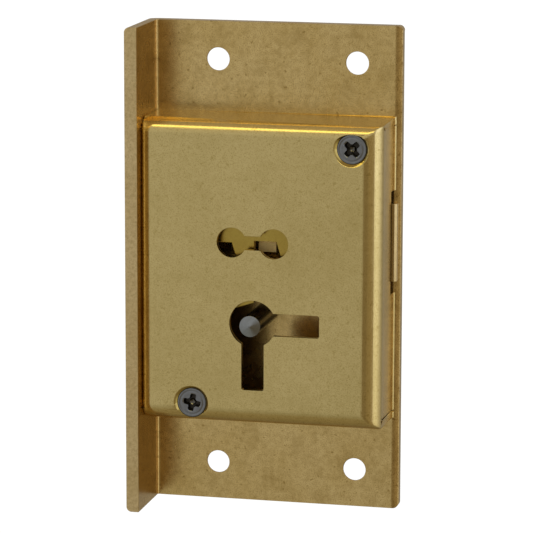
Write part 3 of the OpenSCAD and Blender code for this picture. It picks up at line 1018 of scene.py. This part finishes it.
@dataclass
class LeafSprings:
    """The strip springs, cut into rows up their height; each stays where the CAD frame has it, with its tip
    under the cap's top wall.
    """

    bend_step: float = 0.5 * MM
    foot_rise: float = 1.9 * MM

    def build(self) -> None:
        """Builds and dresses the springs."""
        for number, lever in enumerate(LEVERS, start=1):
            node = f"lever_spring_{number}"
            strip = CadCopy(node)
            rows = int((strip.high.z - strip.low.z) / self.bend_step)
            strip.cut(Axis.UP, [strip.low.z + self.bend_step * k for k in range(1, rows + 1)])
            foot = Vector((strip.high.x, strip.low.y, strip.low.z + self.foot_rise))
            tip = Vector((strip.low.x, strip.low.y, strip.high.z))
            bend = (foot, tip)
            Piece(f"bent_{node}", node, lever, "spring_brass", (SPRING_BRASS,), strip.bm, bend).settle()


@dataclass
class HiddenNodes:
    """CAD nodes that stay as they are and only get a finish."""

    finishes: dict[str, MetalFinish] = field(default_factory=lambda: {
        "upper_cap_pillar": TURNED_BRASS, "lower_cap_pillar": TURNED_BRASS, "lever_post": PIN_STEEL,
    })

    def build(self) -> None:
        """Dresses the nodes."""
        for name, finish in self.finishes.items():
            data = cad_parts[name].data
            data.materials.clear()
            data.materials.append(SHOP.material(finish))
            LOG.info("%s: dressed", name)


def compass(azimuth_deg: float, elevation_deg: float) -> Vector:
    """Gives the unit vector towards a direction.

    Args:
        azimuth_deg: Angle round the lock, 0 in front of the cap and 90 on its right.
        elevation_deg: Angle above the level.

    Returns:
        The vector.
    """
    az, el = math.radians(azimuth_deg), math.radians(elevation_deg)
    return Vector((math.sin(az) * math.cos(el), -math.cos(az) * math.cos(el), math.sin(el)))


@dataclass(frozen=True)
class Softbox:
    """A soft light panel that faces the lock and covers a span of directions."""

    name: str
    azimuths_deg: tuple[float, float]
    elevations_deg: tuple[float, float]
    radiance: Colour
    distance: float = 1.2

    def hang(self, target: Vector) -> None:
        """Adds the panel to the scene.

        Args:
            target: The point that it faces.
        """
        peak = max(self.radiance)
        wide = math.radians(self.azimuths_deg[1] - self.azimuths_deg[0]) / 2
        tall = math.radians(self.elevations_deg[1] - self.elevations_deg[0]) / 2
        data = bpy.data.lights.new(self.name, "AREA")
        data.shape = "RECTANGLE"
        data.size = 2 * self.distance * math.tan(wide)
        data.size_y = 2 * self.distance * math.tan(tall)
        data.color = [c / peak for c in self.radiance]
        data.energy = peak * math.pi * data.size * data.size_y
        lamp = bpy.data.objects.new(self.name, data)
        away = compass(sum(self.azimuths_deg) / 2, sum(self.elevations_deg) / 2)
        lamp.location = target + away * self.distance
        lamp.rotation_euler = away.to_track_quat("Z", "Y").to_euler()
        bpy.context.scene.collection.objects.link(lamp)


@dataclass(frozen=True)
class Glow:
    """A soft patch of light or shade in the room.

    Each span gives the angles where the patch starts, is full, begins to fade and has gone.
    """

    name: str
    colour: Colour
    azimuths_deg: tuple[float, float, float, float]
    elevations_deg: tuple[float, float, float, float]


@dataclass
class Room:
    """The room round the lock: soft light that changes with height, under glows and shades."""

    front: Stops = (
        (-90.0, (0.27, 0.23, 0.145)), (-50.0, (0.335, 0.30, 0.21)), (-31.0, (0.41, 0.41, 0.36)),
        (-11.0, (0.53, 0.54, 0.52)), (8.0, (0.60, 0.61, 0.59)), (40.0, (0.60, 0.585, 0.53)),
        (52.0, (0.52, 0.44, 0.31)), (90.0, (0.485, 0.40, 0.27)))
    back: Stops = (
        (-90.0, (0.25, 0.215, 0.135)), (-40.0, (0.21, 0.17, 0.11)), (-11.0, (0.34, 0.318, 0.272)),
        (30.0, (0.38, 0.34, 0.28)), (90.0, (0.485, 0.40, 0.27)))
    front_to_back: tuple[float, float] = (-0.3, 0.45)
    glows: tuple[Glow, ...] = (
        Glow("room_shade", (0.335, 0.275, 0.17), (-6.0, 10.0, 60.0, 74.0), (-75.0, -45.0, -8.0, 9.0)),
        Glow("camera_shade", (0.235, 0.19, 0.115), (-11.0, 3.0, 18.0, 40.0), (-75.0, -45.0, -10.0, 9.0)),
        Glow("right_window", (0.95, 0.95, 0.87), (62.0, 76.0, 78.0, 150.0), (-50.0, -18.0, 35.0, 60.0)),
        Glow("right_sky", (1.40, 1.52, 1.85), (62.0, 76.0, 78.0, 142.0), (-13.0, -5.0, 35.0, 60.0)),
    )

    def build(self) -> None:
        """Makes the room the scene's world."""
        world = bpy.data.worlds.new("room")
        bpy.context.scene.world = world
        bench = NodeBench(world)
        coords = bench.node("ShaderNodeTexCoord")
        axes = bench.node("ShaderNodeSeparateXYZ")
        bench.link(coords.outputs["Generated"], axes.inputs["Vector"])
        ahead = bench.sum("MULTIPLY", axes.outputs["Y"], -1.0)
        azimuth = bench.sum("ARCTAN2", axes.outputs["X"], ahead)
        elevation = bench.sum("ARCSINE", axes.outputs["Z"], 0.0)
        light = bench.blend(
            bench.span(axes.outputs["Y"], self.front_to_back, (0.0, 1.0), Step.SOFT),
            self._by_height(bench, elevation, self.front), self._by_height(bench, elevation, self.back))
        for glow in self.glows:
            across = self._patch(bench, azimuth, glow.azimuths_deg)
            upwards = self._patch(bench, elevation, glow.elevations_deg)
            light = bench.blend(bench.sum("MULTIPLY", across, upwards), light, glow.colour)
        sky = bench.node("ShaderNodeBackground")
        output = bench.node("ShaderNodeOutputWorld")
        bench.link(light, sky.inputs["Color"])
        bench.link(sky.outputs["Background"], output.inputs["Surface"])

    def _by_height(self, bench: NodeBench, elevation: Socket, stops: Stops) -> Socket:
        """Gives a colour for each elevation.

        Args:
            bench: The bench of the room's nodes.
            elevation: The direction's elevation in radians.
            stops: Pairs of elevation in degrees and colour.

        Returns:
            The colour.
        """
        height = bench.span(elevation, (-math.pi / 2, math.pi / 2), (0.0, 1.0))
        return bench.ramp(height, [(angle / 180.0 + 0.5, colour) for angle, colour in stops])

    def _patch(self, bench: NodeBench, angle: Socket,
               span_deg: tuple[float, float, float, float]) -> Socket:
        """Gives a share that rises and falls along an angle.

        Args:
            bench: The bench of the room's nodes.
            angle: The angle in radians.
            span_deg: Where the share starts, is full, begins to fade and has gone.

        Returns:
            The share.
        """
        start, full, fade, gone = (math.radians(v) for v in span_deg)
        rise = bench.span(angle, (start, full), (0.0, 1.0), Step.SOFT)
        fall = bench.span(angle, (fade, gone), (1.0, 0.0), Step.SOFT)
        return bench.sum("MULTIPLY", rise, fall)


@dataclass
class Studio:
    """Camera, pale floor and soft light."""

    target: Vector = field(default_factory=lambda: Vector((-3.23, 0.0, -0.28)) * MM)
    azimuth_deg: float = 13.05
    elevation_deg: float = 10.74
    roll_deg: float = 0.15
    distance: float = 510.67 * MM
    focal_px: float = 3267.85
    sensor: float = 36.0
    clip: tuple[float, float] = (0.01, 50.0)
    floor_drop: float = 0.35
    floor_side: float = 44.0
    floor_radiance: float = 1.05
    room: Room = field(default_factory=Room)
    lamp: Softbox = Softbox("overhead_lamp", (-75.0, 30.0), (49.0, 65.5), (2.0, 1.85, 0.80))

    def build(self) -> None:
        """Sets up the whole studio."""
        self._camera()
        self._floor()
        self.room.build()
        self.lamp.hang(self.target)
        bpy.context.scene.view_settings.view_transform = "Standard"

    def _camera(self) -> None:
        """Places the camera at the photograph's view."""
        back = compass(self.azimuth_deg, self.elevation_deg)
        turn = math.radians(self.azimuth_deg)
        right = Vector((math.cos(turn), math.sin(turn), 0.0))
        up = back.cross(right)
        roll = math.radians(self.roll_deg)
        side = right * math.cos(roll) + up * math.sin(roll)
        top = up * math.cos(roll) - right * math.sin(roll)
        data = bpy.data.cameras.new("camera")
        data.sensor_width = self.sensor
        data.lens = self.focal_px * self.sensor / IMAGE_SIDE_PX
        data.clip_start, data.clip_end = self.clip
        eye = bpy.data.objects.new("camera", data)
        eye.matrix_world = Matrix.Translation(self.target + back * self.distance) @ Matrix(
            (side, top, back)).transposed().to_4x4()
        bpy.context.scene.collection.objects.link(eye)
        bpy.context.scene.camera = eye

    def _floor(self) -> None:
        """Lays the pale floor well below the lock, out of its reflections."""
        bm = bmesh.new()
        bmesh.ops.create_grid(bm, x_segments=1, y_segments=1, size=self.floor_side / 2)
        bmesh.ops.translate(bm, verts=bm.verts, vec=(0.0, 0.0, -self.floor_drop))
        data = bpy.data.meshes.new("pale_floor")
        bm.to_mesh(data)
        bm.free()
        paper_finish = bpy.data.materials.new("pale_floor")
        bench = NodeBench(paper_finish)
        paper = bench.node("ShaderNodeEmission")
        paper.inputs["Strength"].default_value = self.floor_radiance
        output = bench.node("ShaderNodeOutputMaterial")
        bench.link(paper.outputs["Emission"], output.inputs["Surface"])
        data.materials.append(paper_finish)
        floor = bpy.data.objects.new("pale_floor", data)
        floor.visible_glossy = False
        floor.visible_diffuse = False
        bpy.context.scene.collection.objects.link(floor)


def main() -> None:
    """Builds the studio and every piece of the lock in order."""
    logging.basicConfig(level=logging.INFO, format="%(name)s %(message)s")
    lock = (
        PlateAndSelvedge(), FoldedCap(), CapScrews(), DrillPin(), InnerWork(), LeafSprings(), HiddenNodes())
    for part in (Studio(), *lock):
        LOG.info("building %s", type(part).__name__)
        part.build()


if __name__ == "__main__":
    main()
